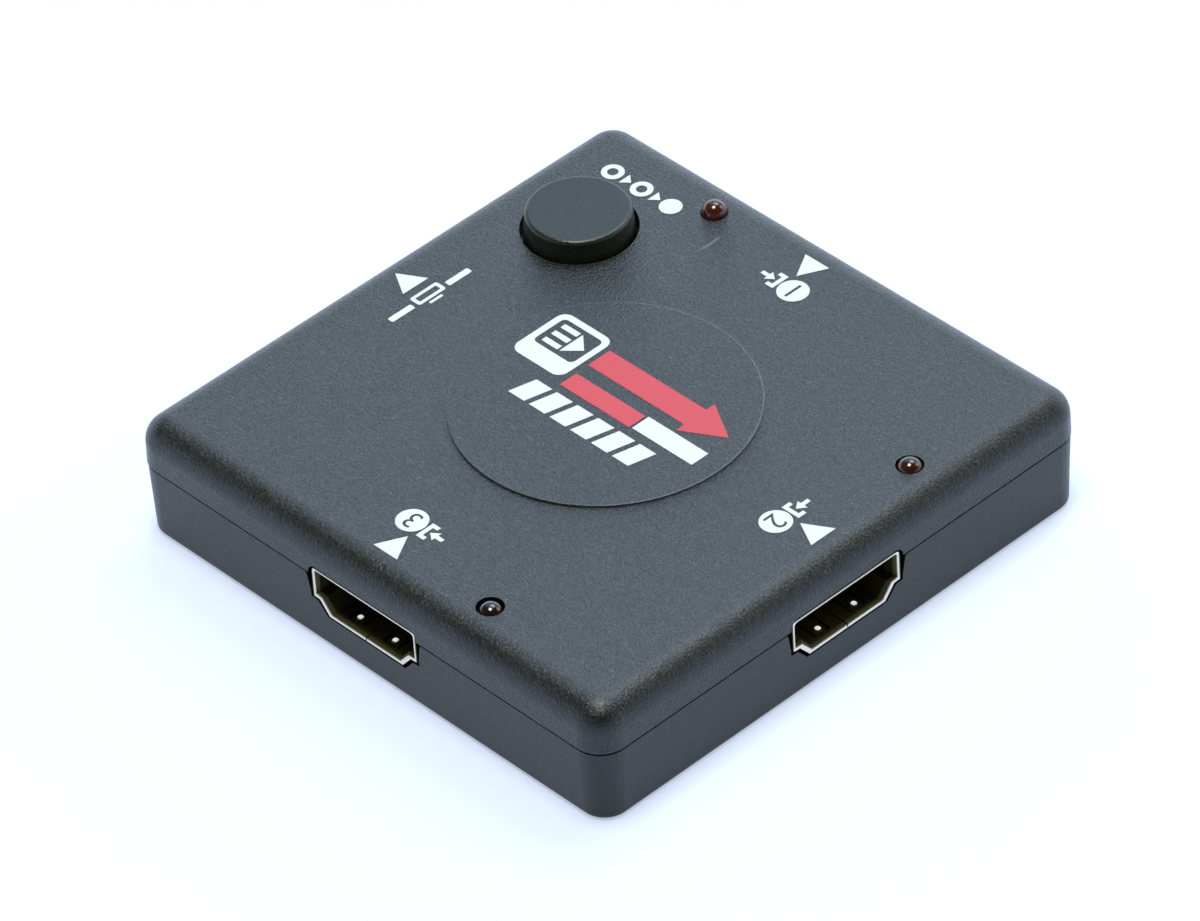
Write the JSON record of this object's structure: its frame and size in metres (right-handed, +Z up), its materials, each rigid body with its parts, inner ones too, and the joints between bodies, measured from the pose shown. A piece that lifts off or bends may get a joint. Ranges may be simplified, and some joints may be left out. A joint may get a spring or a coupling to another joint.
{
  "type": "hdmi switch box",
  "caption": "Flat square video switch box with a socket in the middle of each side, a round select button and an indicator lamp beside each input.",
  "frame": {"origin": "centre of the underside of the case", "axes": "+Z up through the top cover, +Y out of the input 1 socket, +X out of the input 2 socket"},
  "size_m": [0.068, 0.068, 0.0166],
  "materials": {
    "case_plastic": "fine grained matt slate grey",
    "button_plastic": "smooth matt slate grey",
    "screw_steel": "blackened steel",
    "board": "green solder mask",
    "socket_metal": "bright nickel plate",
    "black_plastic": "moulded black",
    "contact_metal": "gold plate",
    "lamp_lens": "dark red clear resin",
    "lead_metal": "tin plate",
    "capacitor_can": "plain can",
    "ceramic": "fired ceramic"
  },
  "bodies": {
    "case": {"bottom_cover": "case_plastic", "top_cover": "case_plastic", "case_screws": "screw_steel", "circuit_board": "board", "socket_shell_in_1": "socket_metal", "socket_shell_in_2": "socket_metal", "socket_shell_in_3": "socket_metal", "socket_shell_out": "socket_metal", "socket_insulator_in_1": "black_plastic", "socket_insulator_in_2": "black_plastic", "socket_insulator_in_3": "black_plastic", "socket_insulator_out": "black_plastic", "socket_contacts_in_1": "contact_metal", "socket_contacts_in_2": "contact_metal", "socket_contacts_in_3": "contact_metal", "socket_contacts_out": "contact_metal", "led_1_lens": "lamp_lens", "led_2_lens": "lamp_lens", "led_3_lens": "lamp_lens", "led_1_leads": "lead_metal", "led_2_leads": "lead_metal", "led_3_leads": "lead_metal", "switch_base": "black_plastic", "switch_cover": "lead_metal", "switch_dome": "lead_metal", "switch_terminals": "lead_metal", "switching_chip": "black_plastic", "switching_chip_leads": "lead_metal", "control_chip": "black_plastic", "control_chip_leads": "lead_metal", "voltage_regulator": "black_plastic", "regulator_leads": "lead_metal", "filter_capacitor": "capacitor_can", "ceramic_capacitors": "ceramic", "resistors": "black_plastic", "input_diodes": "black_plastic"},
    "select_button": {"button_cap": "button_plastic", "switch_plunger": "black_plastic"}
  },
  "joints": [
    {"name": "select_press", "type": "slide", "parent": "case", "child": "select_button", "axis": [0, 0, 1], "range_m": [-0.0003, 0], "stiffness_N_per_m": 6000, "deforming": ["switch_dome"]}
  ]
}
